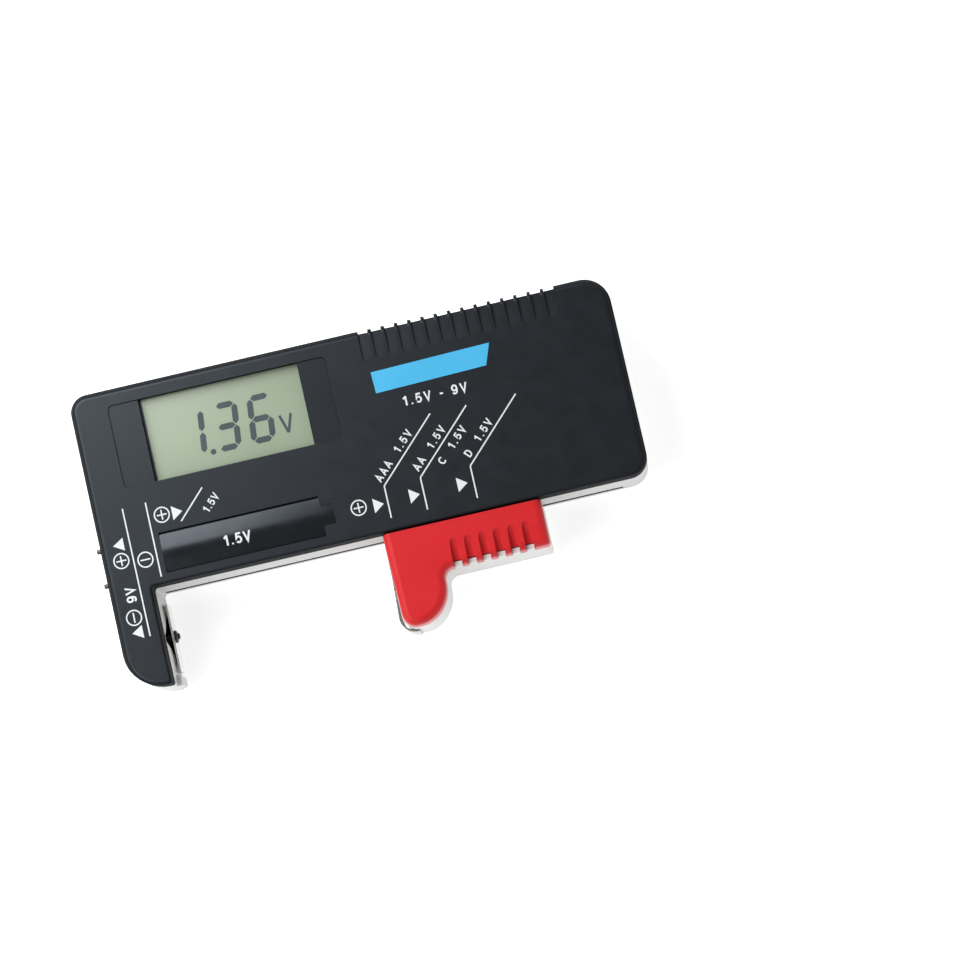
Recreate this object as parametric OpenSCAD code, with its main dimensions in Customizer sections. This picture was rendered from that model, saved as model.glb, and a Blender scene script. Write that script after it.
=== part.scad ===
// Handheld battery tester: an L-shaped housing whose arm carries the fixed
// contact, and a slider that closes on the cell from the other side.
// X runs along the housing, Y towards the ribbed edge, Z out of the display.
// The origin is at the middle of the outline, on the flat back.

/* [Housing] */
// Length of the housing
body_l = 111.2; // [110.6:0.1:112]
// Height of the housing with its arm
body_h = 60.9; // [60.5:0.1:61.3]
// Thickness from the back to the face
body_t = 24; // [23.5:0.5:26]
// Height of the upper block, without the arm
block_h = 41; // [40.8:0.1:41.2]
// Width of the arm
arm_w = 8.6; // [8.3:0.1:8.9]
// Depth of the front cover's rim
cover_d = 6; // [5.5:0.25:6.5]
// Height of the plane where the rear cover meets the frame
split_z = 4.9; // [4.8:0.1:5]
// Wall thickness
wall = 1.7; // [1.5:0.1:1.8]
// Rounding of the front edges
front_r = 1.5; // [0.8:0.1:1.6]
// Rounding of the rear edges
rear_r = 3; // [2:0.5:3.5]

/* [Display] */
// Left edge of the opening for the bezel
disp_x = -48; // [-48.5:0.1:-47.5]
// Length of the opening for the bezel
disp_l = 45; // [44:0.1:45.4]
// Lower edge of the opening
disp_y = 9.9; // [9.5:0.1:10.2]
// Height of the opening
disp_h = 17.05; // [16.8:0.05:17.2]
// Left edge of the glass that shows
glass_x = -41.7; // [-42:0.1:-41]
// Length of the glass that shows
glass_l = 32.9; // [32:0.1:33.5]
// How far the bezel lies below the face
bezel_sink = 0.4; // [0.2:0.05:0.6]

/* [Front relief] */
// Left end of the cell-shaped relief
relief_x = -43.3; // [-44:0.1:-42.5]
// Length of the cell-shaped relief
relief_l = 32.9; // [31:0.1:34]
// Height of the cell-shaped relief
relief_h = 8.2; // [7.5:0.1:8.4]
// Middle height of the relief
relief_y = -4.5; // [-4.7:0.1:-4.4]
// Depth of the relief along its long edges
relief_d = 0.6; // [0.5:0.1:1.1]

/* [Grip] */
// Number of flutes along the top edge
flute_n = 15; // [8:1:15]
// Spacing of the flutes
flute_p = 2.74; // [2.5:0.02:2.78]
// Middle of the first flute
flute_x = 5.45; // [5:0.05:6]
// Width of a flute
flute_w = 2.1; // [1.6:0.1:2.2]

/* [Slider] */
// Left face of the slider with a small cell in the jaws
slider_x = 0.4; // [0.2:0.1:0.6]
// Length of the slider
slider_l = 32.5; // [31.5:0.1:32.9]
// Height of the slider's front face
slider_z = 23.5; // [23:0.1:23.9]
// Number of finger flutes
grip_n = 6; // [4:1:6]
// Spacing of the finger flutes
grip_p = 2.96; // [2.8:0.02:3.0]
// Middle of the first finger flute
grip_x = 14.0; // [13.9:0.05:14.3]

/* [Contacts] */
// Middle height of the cell in the jaws
cell_y = -20.2; // [-21:0.1:-19]
// Distance of the cell's axis from the back
cell_z = 10; // [9.5:0.1:10.5]
// How far the nine-volt studs stand out
stud_out = 1.3; // [0.8:0.1:1.4]
// Height of the slot that the slider runs in
slot_h = 2.4; // [2.3:0.05:2.5]

/* [Hidden] */
$fn = 64;
eps = 0.01;

xl = -body_l / 2;             // left side
xr = body_l / 2;              // right side
yt = body_h / 2;              // top edge
ya = -body_h / 2;             // arm's lower end
yb = yt - block_h;            // lower edge of the block
xa = xl + arm_w;              // arm's inner face
zp = body_t - cover_d;        // where the front cover meets the frame
zi = body_t - 2;              // inner face of the front cover
floor_t = 1.8;
board_z = 16;
board_t = 1.6;

// case screws: block corners, left side, arm
case_pts = [[xr - 6.5, yt - 5.5], [xr - 6.5, 3.2], [xl + 4.4, 4.5], [xl + arm_w / 2, ya + 6.5]];
board_pts = [[-46, 24.3], [-46, 10.4], [-3.6, 24.3], [-3.6, 10.4]];
slider_pts = [[5.2, -23.4], [28.4, -14.6]];
stud_y = [-0.75, -7.9];
plate_x = xa + 1;             // outer face of the fixed contact plate
leaf_x = slider_x - 0.8;      // outer face of the leaf at its free end, off the jaw
jaw_b = -30.2;                // lower end of the jaw

// ---------- helpers ----------
// rectangle with its own radius at each corner: lower left, lower right,
// upper right, upper left
module rrect(x0, x1, y0, y1, r) {
  difference() {
    translate([x0, y0]) square([x1 - x0, y1 - y0]);
    if (r[0] > 0) corner_cut(x0, y0, 1, 1, r[0]);
    if (r[1] > 0) corner_cut(x1, y0, -1, 1, r[1]);
    if (r[2] > 0) corner_cut(x1, y1, -1, -1, r[2]);
    if (r[3] > 0) corner_cut(x0, y1, 1, -1, r[3]);
  }
}
module corner_cut(x, y, sx, sy, r) {
  difference() {
    translate([sx > 0 ? x - 1 : x - r, sy > 0 ? y - 1 : y - r]) square([r + 1, r + 1]);
    translate([x + sx * r, y + sy * r]) circle(r);
  }
}
// solid with rounded long edges: bottom radii b and top radii t, each
// [low X, high X, low Y, high Y]
module soft_block(x0, x1, y0, y1, z0, z1, b, t) {
  intersection() {
    translate([0, y1, 0]) rotate([90, 0, 0]) linear_extrude(y1 - y0)
      rrect(x0, x1, z0, z1, [b[0], b[1], t[1], t[0]]);
    translate([x0, 0, 0]) rotate([90, 0, 90]) linear_extrude(x1 - x0)
      rrect(y0, y1, z0, z1, [b[2], b[3], t[3], t[2]]);
  }
}
// outline of the block and of the arm, e inside the outer face
module block_plan(e) rrect(xl + e, xr - e, yb + e, yt - e, [0, 4 - e, 5.5 - e, 3.7 - e]);
module arm_plan(e) rrect(xl + e, xa - e, ya + e, yt - e - 6, [7.6 - e, max(0.01, 0.5 - e), 0, 0]);
module house_plan(e) { block_plan(e); arm_plan(e); }

// a slab of the housing between two heights, e inside the outer face; the
// front edges that face the jaws are sharper than the ones held in the hand
module house(z0, z1, e, br, tr) {
  intersection() {
    translate([0, 0, z0]) linear_extrude(z1 - z0) block_plan(e);
    soft_block(xl + e, xr - e, yb + e, yt - e, z0, z1, [br, br, br, br], [tr, tr, min(tr, 0.5), tr]);
  }
  intersection() {
    translate([0, 0, z0]) linear_extrude(z1 - z0) arm_plan(e);
    soft_block(xl + e, xa - e, ya + e, yt - e, z0, z1,
      [br, min(br, 1), br, 0], [tr, min(tr, 0.5), min(tr, 0.8), 0]);
  }
}
// smooth tube through hand-set points; its ends lie square to the first and
// last stretch
function unit(v) = v / norm(v);
function knot(p, i) = p[max(0, min(len(p) - 1, i))];
function spline(p, n) = [for (i = [0 : len(p) - 2], k = [0 : n - 1]) let (t = k / n,
    a = knot(p, i - 1), b = p[i], c = p[i + 1], d = knot(p, i + 2))
    0.5 * (2 * b + (c - a) * t + (2 * a - 5 * b + 4 * c - d) * t * t + (3 * b - a - 3 * c + d) * t * t * t)];
function turn(p, i, u) = i == len(p) ? [] :
  let (t = unit(knot(p, i + 1) - knot(p, i - 1)), w = unit(u - (u * t) * t))
  concat([[w, cross(t, w)]], turn(p, i + 1, w));
module wire(p, r, sides = 8) {
  n = len(p);
  path = concat([p[0]], spline([for (i = [1 : n - 2]) p[i]], 3), [p[n - 2], p[n - 1]]);
  m = len(path);
  f = turn(path, 0, [0.31, 0.42, 0.27]);
  polyhedron(
    [for (i = [0 : m - 1], k = [0 : sides - 1])
      path[i] + r * (cos(360 * k / sides) * f[i][0] + sin(360 * k / sides) * f[i][1])],
    concat([[for (k = [0 : sides - 1]) k]],
      [for (i = [0 : m - 2], k = [0 : sides - 1]) let (q = (k + 1) % sides)
        [i * sides + k, (i + 1) * sides + k, (i + 1) * sides + q, i * sides + q]],
      [[for (k = [sides - 1 : -1 : 0]) (m - 1) * sides + k]]));
}
// pan-head screw, head down, under the head at z = 0
module screw(r, l, hr, hh) {
  difference() {
    union() {
      translate([0, 0, -hh]) cylinder(r = hr, h = hh, $fn = 36);
      cylinder(r = r, h = l, $fn = 36);
    }
    for (a = [0, 90]) rotate(a) translate([-hr * 0.62, -0.22, -hh - 1]) cube([hr * 1.24, 0.44, 1.55]);
  }
}

// ---------- housing ----------
module front_cover() color([0.16, 0.17, 0.19]) {
  difference() {
    union() {
      difference() {
        house(zp, body_t, 0, 0, front_r);
        translate([0, 0, zp - 1]) linear_extrude(zi - zp + 1) house_plan(wall);
      }
      // posts for the case screws
      for (i = [0 : 2]) translate([case_pts[i][0], case_pts[i][1], split_z])
        cylinder(r = 2.4, h = zi - split_z + 0.5);
      translate([case_pts[3][0], case_pts[3][1], split_z]) cylinder(r = 1.9, h = zi - split_z + 0.5);
    }
    for (p = case_pts) translate([p[0], p[1], split_z - 1]) cylinder(r = 1.15, h = 14.6);
    // opening for the display bezel
    translate([0, 0, zi - 1]) linear_extrude(4)
      rrect(disp_x, disp_x + disp_l, disp_y, disp_y + disp_h, [1, 1, 1, 1]);
    relief_cut();
    for (i = [0 : flute_n - 1]) translate([flute_x + i * flute_p, 0, 0]) flute_cut();
    // holes for the nine-volt studs
    for (y = stud_y) translate([xl - 1, y, zp]) rotate([0, 90, 0]) cylinder(r = 0.52, h = 4);
  }
}
// sunk outline of a cell with a crowned floor
module relief_cut() {
  half = relief_h / 2;
  crown = (half * half + relief_d * relief_d) / (2 * relief_d);
  difference() {
    translate([0, 0, body_t - relief_d]) linear_extrude(relief_d + 1) {
      translate([relief_x, relief_y - half]) square([relief_l, relief_h]);
      translate([relief_x + relief_l - eps, relief_y - 2.07]) square([2.5 + eps, 4.14]);
    }
    translate([relief_x - 1, relief_y, body_t - crown - 0.02]) rotate([0, 90, 0])
      cylinder(r = crown, h = relief_l + 5, $fn = 180);
  }
}
// round-ended groove that runs over the top edge
module flute_cut() {
  translate([0, 0, body_t - 0.7]) linear_extrude(2) {
    translate([0, 24.05 + flute_w / 2]) circle(flute_w / 2);
    translate([-flute_w / 2, 24.05 + flute_w / 2]) square([flute_w, 8]);
  }
  translate([-flute_w / 2, yt - 0.7, zp + 0.8]) cube([flute_w, 2, 8]);
}

module middle_frame() color([0.93, 0.93, 0.92]) {
  difference() {
    union() {
      difference() {
        translate([0, 0, split_z]) linear_extrude(zp - split_z) house_plan(0);
        translate([0, 0, split_z - 1]) linear_extrude(zp - split_z + 2) house_plan(wall);
      }
      // ledge that carries the contact rail
      translate([-41, yb + wall - 0.2, 10]) cube([92.3, 5.8, 1.2]);
      // pad behind the fixed contact and lip below it
      translate([xa - 0.2, -24, 7.6]) cube([0.8, 7.6, 3.8]);
      translate([xa - 1.2, ya, split_z]) linear_extrude(9.1) rrect(0, 2.1, 0, 2.2, [1, 0.6, 0.2, 0]);
    }
    // slot for the slider, along the rear edge of the lower wall
    translate([xa + 0.6, yb - 1, split_z - 1]) cube([96.1, wall + 1.6, slot_h + 1]);
    for (y = stud_y) translate([xl - 1, y, zp]) rotate([0, 90, 0]) cylinder(r = 0.52, h = 4);
    // slit for the plate's tab and hole for the rivet
    translate([xa - wall - 1, -13.86, 6.9]) cube([wall + 2, 0.52, 4.2]);
    translate([xa - 5, cell_y, cell_z]) rotate([0, 90, 0]) cylinder(r = 0.8, h = 8);
  }
}

module rear_cover() color([0.93, 0.93, 0.92]) {
  difference() {
    union() {
      difference() {
        house(0, split_z, 0, rear_r, 0);
        difference() {
          translate([0, 0, floor_t]) house(0, split_z, wall, rear_r - wall, 0);
          // solid end of the arm around its screw
          translate([xl, ya, 0]) cube([arm_w, 9.6, 12]);
        }
      }
      for (i = [0 : 2]) translate([case_pts[i][0], case_pts[i][1], 1]) cylinder(r = 2.9, h = split_z - 1);
      // runners under the carriage and the guide behind it
      for (y = [-7.2, -4.2]) translate([-45, y, 1]) cube([96, 1, 1.75]);
      translate([-45, -2.25, 1]) cube([96, 1.2, 7.4]);
    }
    for (p = case_pts) translate([p[0], p[1], -1]) {
      cylinder(r = 1.3, h = split_z + 2);
      cylinder(r = 2.1, h = 4.6);
    }
  }
}

module case_screws() color([0.75, 0.76, 0.78])
  for (p = case_pts) translate([p[0], p[1], 3.6]) screw(1.1, 14, 1.85, 1.2);

// ---------- display ----------
module display_bezel() color([0.15, 0.16, 0.18]) {
  difference() {
    union() {
      // wings that show beside the glass
      translate([0, 0, zi - 0.5]) linear_extrude(body_t - bezel_sink - zi + 0.5)
        rrect(disp_x + 0.05, disp_x + disp_l - 0.05, disp_y + 0.05, disp_y + disp_h - 0.05, [1, 1, 1, 1]);
      translate([-50, 7.5, board_z + board_t]) cube([49, 20.7, zi - board_z - board_t - 0.02]);
    }
    // window
    translate([glass_x, disp_y - 1, 10]) cube([glass_l, disp_h + 2, 20]);
    // seat of the glass
    translate([-44.1, 8.9, 10]) cube([37.6, 30, zi - 10]);
    for (p = board_pts) translate([p[0], p[1], 15]) cylinder(r = 0.9, h = 6);
  }
}
module lcd_panel() color([0.68, 0.73, 0.62]) {
  translate([-44, 9, zi - 1.4]) cube([37.4, 19, 1.4]);
  translate([-44, 11.6, zi - 2.8]) cube([37.4, 16.4, 1.4 + eps]);
}
module zebra_strip() color([0.85, 0.72, 0.75])
  translate([-42, 9.3, board_z + board_t]) cube([33.4, 1.9, zi - 1.4 - board_z - board_t]);

module circuit_board() color([0.12, 0.42, 0.22]) difference() {
  translate([-47.4, 3.2, board_z]) cube([45.6, 24.4, board_t]);
  for (p = board_pts) translate([p[0], p[1], board_z - 1]) cylinder(r = 1, h = 4);
}
module board_screws() color([0.75, 0.76, 0.78])
  for (p = board_pts) translate([p[0], p[1], board_z]) screw(0.86, 4.6, 1.6, 1);

module controller_blob() color([0.08, 0.08, 0.09]) intersection() {
  translate([-30, 14.5, board_z + 6.2]) sphere(8);
  translate([-40, 4, board_z - 4]) cube([20, 20, 4]);
}
module load_resistors() color([0.78, 0.66, 0.5])
  for (y = [8.4, 12, 15.6]) translate([-13, y, board_z - 1.25]) {
    translate([-3.15, 0, 0]) rotate([0, 90, 0]) cylinder(r = 1.15, h = 6.3);
    translate([-4.8, 0, 0]) rotate([0, 90, 0]) cylinder(r = 0.28, h = 9.6, $fn = 24);
    for (s = [-1, 1]) translate([s * 4.8, 0, -0.28]) cylinder(r = 0.28, h = 1.53, $fn = 24);
  }
module ceramic_capacitors() color([0.8, 0.5, 0.2])
  for (x = [-22, -18]) translate([x, 21, board_z - 3]) {
    translate([-0.6, 0, 0]) rotate([0, 90, 0]) cylinder(r = 2, h = 1.2);
    for (s = [-1, 1]) translate([0, s * 1.2, 1]) cylinder(r = 0.25, h = 2, $fn = 24);
  }
module electrolytic_capacitor() color([0.12, 0.14, 0.3]) translate([-40, 0, board_z - 2.6]) {
  translate([0, 22, 0]) rotate([90, 0, 0]) cylinder(r = 2.5, h = 8);
  for (s = [-1, 1]) translate([s * 1, 0, 0]) {
    translate([0, 14.1, 0]) rotate([90, 0, 0]) cylinder(r = 0.25, h = 1.5, $fn = 24);
    translate([0, 12.6, -0.25]) cylinder(r = 0.25, h = 2.85, $fn = 24);
  }
}
module calibration_trimmer() color([0.2, 0.35, 0.7]) difference() {
  union() {
    translate([-33, 21.2, board_z - 3.2]) cube([6, 6, 3.2]);
    translate([-30, 24.2, board_z - 3.7]) cylinder(r = 1.9, h = 1);
  }
  translate([-31.5, 23.9, board_z - 4]) cube([3, 0.6, 0.8]);
}

// ---------- fixed contacts ----------
module contact_rail() color([0.86, 0.83, 0.74]) {
  translate([-46, -7.6, 9.6]) cube([97, 4.6, 0.4]);
}
module negative_contact() color([0.86, 0.86, 0.85]) {
  difference() {
    union() {
      translate([plate_x - 0.4, -27.5, 5.2]) cube([0.4, 14.1, 6.6]);
      // tab through the slit
      translate([xa - 3.2, -13.8, 7]) cube([plate_x - xa + 3, 0.4, 4]);
    }
    translate([plate_x - 2, cell_y, cell_z]) rotate([0, 90, 0]) cylinder(r = 0.72, h = 3);
  }
}
// rivet with a domed head and a small nose that meets the cell
module negative_button() color([0.8, 0.79, 0.74])
  translate([plate_x, cell_y, cell_z]) rotate([0, 90, 0]) {
    rotate_extrude() polygon([[0, 0], [1.3, 0], [1.3, 0.35], [1.2, 0.55], [0.95, 0.66],
      [0.68, 0.68], [0.64, 0.9], [0.48, 1.05], [0.22, 1.1], [0, 1.1]]);
    translate([0, 0, -wall - 1.1]) cylinder(r = 0.7, h = wall + 1.12);
    translate([0, 0, -wall - 1.46]) cylinder(r = 1.2, h = 0.42);
  }
module stud(y) translate([xl, y, zp]) {
  rotate([0, -90, 0]) rotate_extrude() polygon([[0, -wall - 0.8], [0.5, -wall - 0.8], [0.5, stud_out - 0.2],
    [0.45, stud_out - 0.07], [0.34, stud_out], [0, stud_out]]);
  translate([wall + 0.02, 0, 0]) rotate([0, 90, 0]) cylinder(r = 1.5, h = 0.5);
}
module nine_volt_positive_contact() color([0.66, 0.65, 0.56]) stud(stud_y[0]);
module nine_volt_negative_contact() color([0.66, 0.65, 0.56]) stud(stud_y[1]);

// ---------- leads ----------
module negative_lead() color([0.1, 0.1, 0.1])
  wire([[-49.6, -13.4, 9], [-49.6, -12.6, 9], [-49.9, -8, 9], [-49.4, -3, 9.5], [-46.8, 1.2, 11], [-43, 3.6, 12.5], [-42.5, 4.5, 15], [-42.5, 4.5, 16]], 0.5);
module rail_lead() color([0.75, 0.1, 0.1])
  wire([[-44.5, -5, 10], [-44.5, -5, 10.8], [-44.2, -3, 12.6], [-42, 0.8, 13], [-40.7, 3.6, 13.6], [-40.5, 4.5, 15], [-40.5, 4.5, 16]], 0.5);
module nine_volt_positive_lead() color([0.75, 0.1, 0.1])
  wire([[xl + wall + 0.8, -0.75, 18], [xl + wall + 1.6, -0.75, 18], [-50, -0.4, 16.6], [-48, 0.9, 14.4], [-46.3, 3.6, 14], [-46, 4.5, 15.2], [-46, 4.5, 16]], 0.5);
module nine_volt_negative_lead() color([0.1, 0.1, 0.1])
  wire([[xl + wall + 0.8, -7.9, 18], [xl + wall + 1.6, -7.9, 18], [-49.6, -6, 16.6], [-47.2, -2, 15.4], [-44.9, 2.8, 14.2], [-44.3, 4.5, 15.2], [-44.3, 4.5, 16]], 0.5);

// ---------- slider ----------
// outline of jaw and handle, e inside the outer face
module slider_plan(e) {
  x0 = slider_x + e;
  x1 = slider_x + slider_l - e;
  yu = yb - 0.2 - e;
  difference() {
    union() {
      translate([x0, -22.9]) square([10.4 - 2 * e, yu + 22.9]);
      rrect(x0, x1, -20.25 + e, yu, [0, max(0.01, 0.8 - e), max(0.01, 0.6 - e), 0]);
      intersection() {
        translate([3.5, -22.9]) circle(7.3 - e);
        translate([x0, -32]) square([12, 12]);
      }
      difference() {
        translate([10.8 - e - eps, -22.35]) square([2.1 + e + eps, 3 + e]);
        translate([12.9, -22.35]) circle(2.1 + e);
      }
    }
    // round lower left corner of the jaw
    difference() {
      translate([slider_x - 1, jaw_b - 1]) square([3.9 + e, 3.9]);
      translate([slider_x + 2.9, jaw_b + 2.9]) circle(2.9 - e);
      translate([slider_x + 2.9, jaw_b - 1]) square([4, 5]);
    }
  }
}
module slider_front() color([0.86, 0.2, 0.21]) {
  difference() {
    union() {
      difference() {
        translate([0, 0, zp]) linear_extrude(slider_z - zp) slider_plan(0);
        translate([0, 0, zp - 1]) linear_extrude(slider_z - zp - 0.8) slider_plan(1.6);
      }
      for (p = slider_pts) translate([p[0], p[1], 12]) cylinder(r = 2.1, h = slider_z - 13);
    }
    for (p = slider_pts) translate([p[0], p[1], 11]) cylinder(r = 1.03, h = 8);
    for (i = [0 : grip_n - 1]) translate([grip_x + i * grip_p, 0, 0]) grip_cut();
  }
}
// finger flute: a groove in the face that becomes a notch in the lower wall
module grip_cut() {
  translate([0, 0, slider_z - 0.7]) linear_extrude(2) {
    translate([0, -15.7]) circle(0.7);
    translate([-0.7, -21]) square([1.4, 5.3]);
  }
  translate([-0.7, -21.2, zp - 1]) cube([1.4, 2, 10]);
}
module slider_back() color([0.94, 0.94, 0.93]) {
  difference() {
    union() {
      difference() {
        translate([0, 0, 1.2]) linear_extrude(zp - 1.2) slider_plan(0);
        translate([0, 0, 3]) linear_extrude(zp) slider_plan(1.6);
      }
      for (p = slider_pts) translate([p[0], p[1], 2]) cylinder(r = 2.5, h = 10);
      // tongue through the slot, and the carriage behind it
      translate([slider_x, yb - 1.5, split_z + 0.15]) cube([30.6, 6, slot_h - 0.3]);
      translate([slider_x, yb + wall + 0.15, 2.9]) cube([30.6, -2.4 - (yb + wall + 0.15), 6]);
    }
    for (p = slider_pts) translate([p[0], p[1], 0]) {
      cylinder(r = 1.15, h = 20);
      cylinder(r = 1.9, h = 4.6);
    }
  }
}
module slider_contact() color([0.84, 0.84, 0.83]) {
  // sprung leaf that leans off the jaw towards its free end, bent round the tip
  translate([0, 0, 4.8]) linear_extrude(9.7) polygon([[slider_x - 0.4, -11.1], [slider_x - 0.4, -19],
    [leaf_x, jaw_b + 2.9], [leaf_x + 0.4, jaw_b + 2.9], [slider_x, -19], [slider_x, -11.1]]);
  translate([leaf_x + 3.3, jaw_b + 2.9, 4.8]) difference() {
    cylinder(r = 3.3, h = 9.7);
    translate([0, 0, -1]) cylinder(r = 2.9, h = 16);
    translate([-5, 0, -1]) cube([10, 6, 16]);
    translate([0.3, -5, -1]) cube([6, 10, 16]);
  }
  // neck through the slot and riser beside the carriage
  translate([slider_x - 0.4, -11.4, split_z + 0.25]) cube([0.4, 8.3, slot_h - 0.5]);
  translate([slider_x - 0.4, -7.6, split_z + 0.25]) cube([0.4, 4.5, 9.3 - split_z - 0.25]);
  // finger that rubs on the rail
  translate([slider_x - 0.4, -6.8, 9]) cube([15, 3, 0.3]);
  intersection() {
    translate([slider_x + 10, -6.8, 7.52]) rotate([-90, 0, 0]) cylinder(r = 2, h = 3);
    translate([slider_x, -8, 9.1]) cube([20, 6, 1]);
  }
}
module slider_screws() color([0.75, 0.76, 0.78])
  for (p = slider_pts) translate([p[0], p[1], 4.6]) screw(1, 12.5, 1.75, 1.1);

front_cover();
middle_frame();
rear_cover();
display_bezel();
lcd_panel();
zebra_strip();
circuit_board();
controller_blob();
load_resistors();
ceramic_capacitors();
electrolytic_capacitor();
calibration_trimmer();
board_screws();
case_screws();
contact_rail();
negative_contact();
negative_button();
nine_volt_positive_contact();
nine_volt_negative_contact();
negative_lead();
rail_lead();
nine_volt_positive_lead();
nine_volt_negative_lead();
slider_front();
slider_back();
slider_contact();
slider_screws();
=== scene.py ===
import math
import bpy
import bmesh
from mathutils import Matrix, Vector


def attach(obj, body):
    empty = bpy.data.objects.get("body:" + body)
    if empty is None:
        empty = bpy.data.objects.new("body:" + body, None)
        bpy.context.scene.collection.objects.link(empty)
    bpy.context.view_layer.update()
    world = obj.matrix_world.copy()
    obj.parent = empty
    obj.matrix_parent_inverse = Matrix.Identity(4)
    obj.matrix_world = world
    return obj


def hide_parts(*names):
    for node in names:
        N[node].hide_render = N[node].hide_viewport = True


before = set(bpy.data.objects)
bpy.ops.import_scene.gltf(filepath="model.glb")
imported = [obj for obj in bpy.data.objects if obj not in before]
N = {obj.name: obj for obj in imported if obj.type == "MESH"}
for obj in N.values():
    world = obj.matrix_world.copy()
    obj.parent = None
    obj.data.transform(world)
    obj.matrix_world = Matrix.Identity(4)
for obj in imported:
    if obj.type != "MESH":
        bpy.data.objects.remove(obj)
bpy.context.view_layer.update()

MM = 0.001
scene = bpy.context.scene

# ---------------------------------------------------------------- dimensions
T = 24.0            # thickness
ZP = 18.0           # front cover meets the middle frame
SPLIT = 4.9         # middle frame meets the rear cover
ZI = 22.0           # inner face of the front cover
WALL = 1.7
XL, XR, YT, YB, YA, XA = -55.6, 55.6, 30.45, -10.55, -30.45, -47.0
DISP = (-48.0, -3.0, 9.9, 26.95)
GLASS = (-41.7, -8.8)
SX, SL, SZ, JAW = 0.4, 32.5, 23.5, -30.2


# ---------------------------------------------------------------- materials
def new_mat(name):
    m = bpy.data.materials.new(name)
    m.use_nodes = True
    nt = m.node_tree
    return m, nt, nt.nodes["Principled BSDF"]


def obj_coord(nt):
    return nt.nodes.new("ShaderNodeTexCoord").outputs["Object"]


def noise(nt, scale, detail=4.0, rough=0.55, vec=None, stretch=None):
    n = nt.nodes.new("ShaderNodeTexNoise")
    n.inputs["Scale"].default_value = scale
    n.inputs["Detail"].default_value = detail
    n.inputs["Roughness"].default_value = rough
    v = vec or obj_coord(nt)
    if stretch:
        mp = nt.nodes.new("ShaderNodeMapping")
        mp.inputs["Scale"].default_value = stretch
        nt.links.new(v, mp.inputs["Vector"])
        v = mp.outputs["Vector"]
    nt.links.new(v, n.inputs["Vector"])
    return n.outputs["Fac"]


def ramp(nt, fac, stops):
    r = nt.nodes.new("ShaderNodeValToRGB")
    e = r.color_ramp.elements
    while len(e) < len(stops):
        e.new(0.5)
    for i, (p, c) in enumerate(stops):
        e[i].position = p
        e[i].color = (*c, 1) if len(c) == 3 else (c[0], c[0], c[0], 1)
    nt.links.new(fac, r.inputs["Fac"])
    return r.outputs["Color"]


def bump(nt, height, strength, dist, b):
    n = nt.nodes.new("ShaderNodeBump")
    n.inputs["Strength"].default_value = strength
    n.inputs["Distance"].default_value = dist
    nt.links.new(height, n.inputs["Height"])
    nt.links.new(n.outputs["Normal"], b.inputs["Normal"])


def plastic(name, lo, hi, r0, r1, grain=5200.0, gstr=0.10, ior=1.47, coat=0.0, sss=0.0, spec=0.5, tint=None):
    """Moulded plastic: slight colour drift, fine spark-eroded grain, uneven gloss."""
    m, nt, b = new_mat(name)
    c = obj_coord(nt)
    nt.links.new(ramp(nt, noise(nt, 90, 5, 0.6, c), [(0.25, lo), (0.75, hi)]), b.inputs["Base Color"])
    nt.links.new(ramp(nt, noise(nt, 300, 6, 0.65, c), [(0.3, (r0,)), (0.7, (r1,))]), b.inputs["Roughness"])
    bump(nt, noise(nt, grain, 3, 0.5, c), gstr, 0.00004, b)
    b.inputs["IOR"].default_value = ior
    b.inputs["Specular IOR Level"].default_value = spec
    if tint:
        b.inputs["Specular Tint"].default_value = (*tint, 1)
    if coat:
        b.inputs["Coat Weight"].default_value = coat
        b.inputs["Coat Roughness"].default_value = 0.22
    if sss:
        b.inputs["Subsurface Weight"].default_value = sss
        b.inputs["Subsurface Radius"].default_value = (0.0012, 0.0006, 0.0005)
        b.inputs["Subsurface Scale"].default_value = 0.6
    return m


def metal(name, lo, hi, r0, r1, stretch=(1, 1, 14), scale=700):
    m, nt, b = new_mat(name)
    c = obj_coord(nt)
    nt.links.new(ramp(nt, noise(nt, 260, 5, 0.6, c), [(0.3, lo), (0.7, hi)]), b.inputs["Base Color"])
    f = noise(nt, scale, 4, 0.6, c, stretch)
    nt.links.new(ramp(nt, f, [(0.3, (r0,)), (0.7, (r1,))]), b.inputs["Roughness"])
    bump(nt, f, 0.12, 0.00003, b)
    b.inputs["Metallic"].default_value = 1.0
    return m


COOL = (0.80, 0.90, 1.0)
M_BLACK = plastic("black_plastic", (0.0062, 0.0075, 0.0092), (0.0088, 0.0104, 0.0124), 0.30, 0.38, 5200, 0.12, spec=0.48, tint=COOL)
# the drafted sides are more coarsely textured than the face, so they are duller
M_EDGE = plastic("black_edge", (0.0062, 0.0075, 0.0092), (0.0088, 0.0104, 0.0124), 0.38, 0.46, 5200, 0.12, spec=0.20, tint=COOL)
M_SIDE = plastic("black_side", (0.0062, 0.0075, 0.0092), (0.0088, 0.0104, 0.0124), 0.52, 0.62, 4200, 0.16, spec=0.02, tint=COOL)
M_BEZEL = plastic("bezel_plastic", (0.0058, 0.0070, 0.0085), (0.0080, 0.0095, 0.0112), 0.295, 0.295, 6000, 0.06, spec=0.48, tint=COOL)
M_GLOSS = plastic("polished_black", (0.0048, 0.0058, 0.0072), (0.0062, 0.0074, 0.0090), 0.16, 0.22, 2600, 0.02, spec=0.62, tint=COOL)
M_WHITE = plastic("white_plastic", (0.70, 0.70, 0.69), (0.76, 0.76, 0.75), 0.36, 0.46, 4200, 0.06, sss=0.05)
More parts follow.
